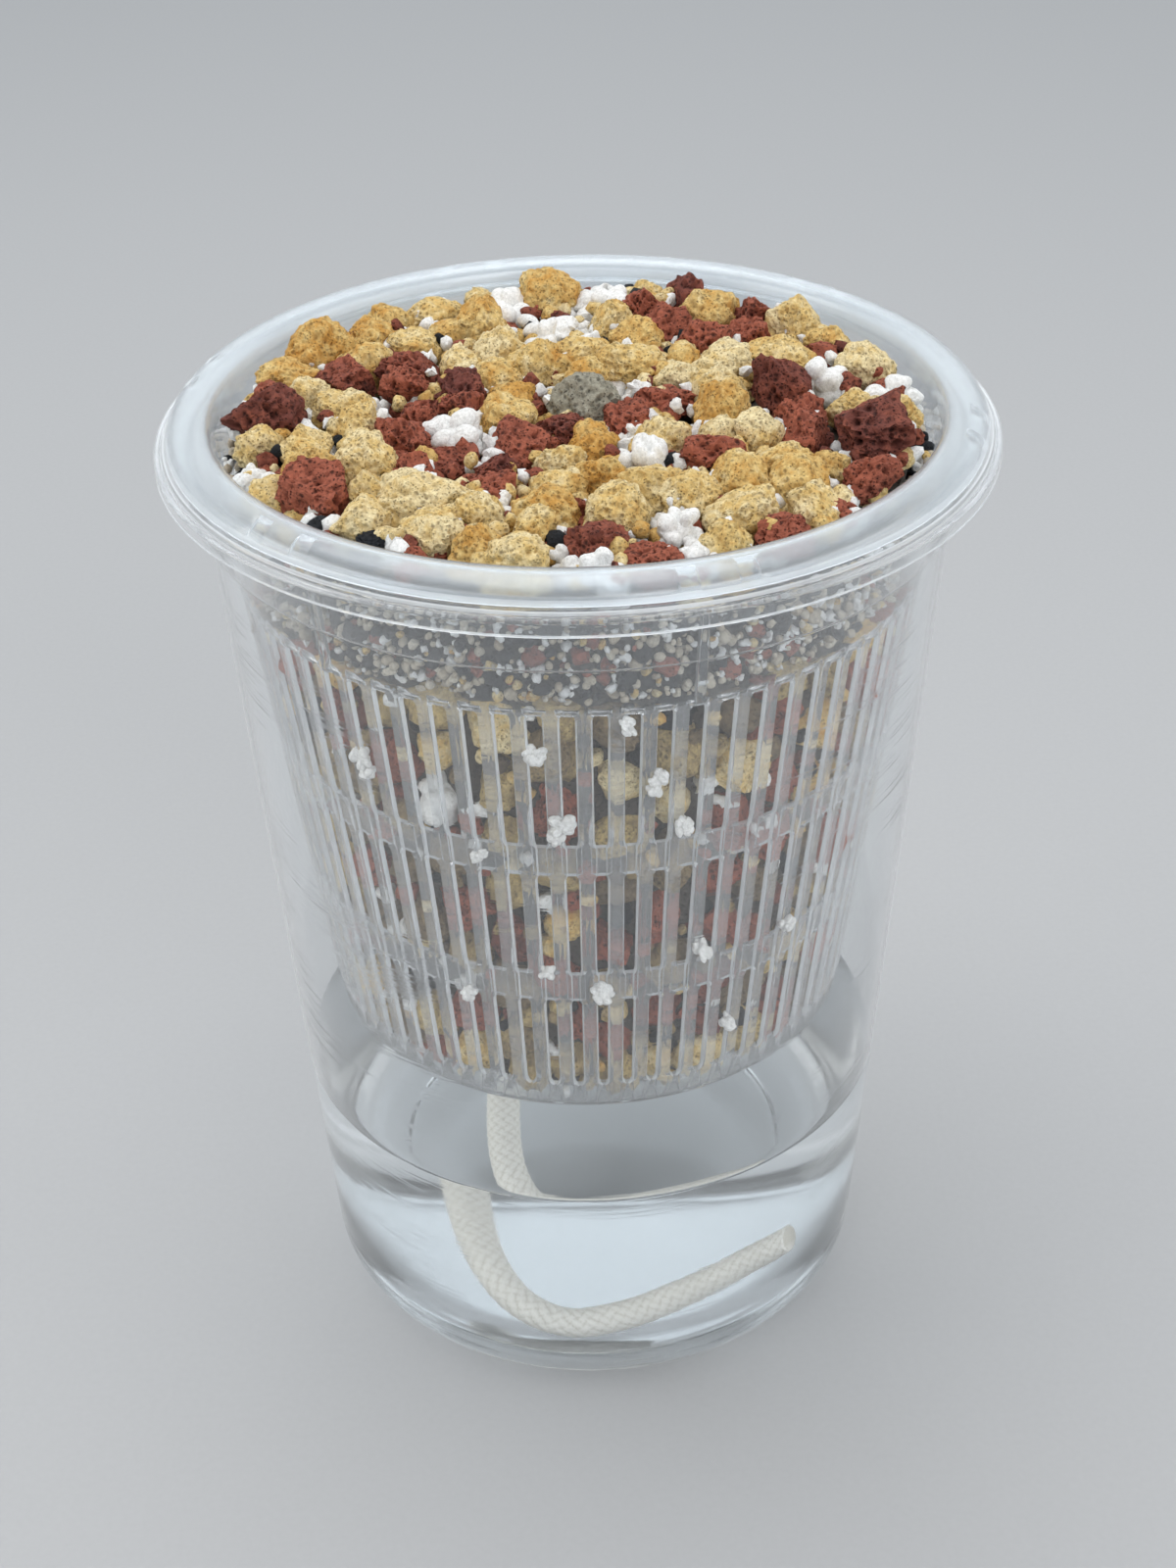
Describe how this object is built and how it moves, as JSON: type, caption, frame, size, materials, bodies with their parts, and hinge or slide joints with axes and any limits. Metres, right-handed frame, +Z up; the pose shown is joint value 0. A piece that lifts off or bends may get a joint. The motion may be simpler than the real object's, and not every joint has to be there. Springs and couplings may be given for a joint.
{
  "type": "self-watering pot",
  "caption": "Clear round cup that holds water under a slotted hanging basket of gritty growing mix, with a cord wick that draws the water up.",
  "frame": {"origin": "on the table under the middle of the cup", "axes": "+Z up, -Y towards the front of the picture, +X to its right"},
  "size_m": [0.1174, 0.1174, 0.1533],
  "materials": {
    "cup_plastic": "clear, slightly hazy",
    "basket_plastic": "milky translucent",
    "water": "clear",
    "wick_cord": "knitted cord",
    "coarse_mix": "gritty",
    "fine_mix": "gritty",
    "grit": "porous matt",
    "pumice": "porous matt",
    "grey_stone": "porous matt",
    "lava_rock": "porous matt",
    "perlite": "porous matt",
    "charcoal": "matt"
  },
  "bodies": {
    "reservoir": {"reservoir_cup": "cup_plastic", "reservoir_water": "water"},
    "basket": {"slotted_basket": "basket_plastic", "wick_tail": "wick_cord", "wick_core": "wick_cord", "coarse_mix": "coarse_mix", "fine_mix": "fine_mix", "top_grit": "grit", "charcoal_01": "charcoal", "charcoal_02": "charcoal", "grey_stone_01": "grey_stone", "lava_rock_01": "lava_rock", "lava_rock_02": "lava_rock", "lava_rock_03": "lava_rock", "lava_rock_04": "lava_rock", "lava_rock_05": "lava_rock", "lava_rock_06": "lava_rock", "lava_rock_07": "lava_rock", "lava_rock_08": "lava_rock", "lava_rock_09": "lava_rock", "lava_rock_10": "lava_rock", "lava_rock_11": "lava_rock", "lava_rock_12": "lava_rock", "lava_rock_13": "lava_rock", "lava_rock_14": "lava_rock", "lava_rock_15": "lava_rock", "lava_rock_16": "lava_rock", "perlite_01": "perlite", "perlite_02": "perlite", "perlite_03": "perlite", "perlite_04": "perlite", "perlite_05": "perlite", "pumice_01": "pumice", "pumice_02": "pumice", "pumice_03": "pumice", "pumice_04": "pumice", "pumice_05": "pumice", "pumice_06": "pumice", "pumice_07": "pumice", "pumice_08": "pumice", "pumice_09": "pumice", "pumice_10": "pumice", "pumice_11": "pumice", "pumice_12": "pumice", "pumice_13": "pumice", "pumice_14": "pumice", "pumice_15": "pumice", "pumice_16": "pumice", "pumice_17": "pumice", "pumice_18": "pumice", "pumice_19": "pumice", "pumice_20": "pumice", "pumice_21": "pumice", "pumice_22": "pumice", "pumice_23": "pumice", "pumice_24": "pumice", "pumice_25": "pumice", "pumice_26": "pumice"}
  },
  "joints": [
    {"name": "basket_lift", "type": "slide", "parent": "reservoir", "child": "basket", "axis": [0, 0, 1], "range_m": [0, 0.15], "deforming": ["reservoir_water"]}
  ]
}
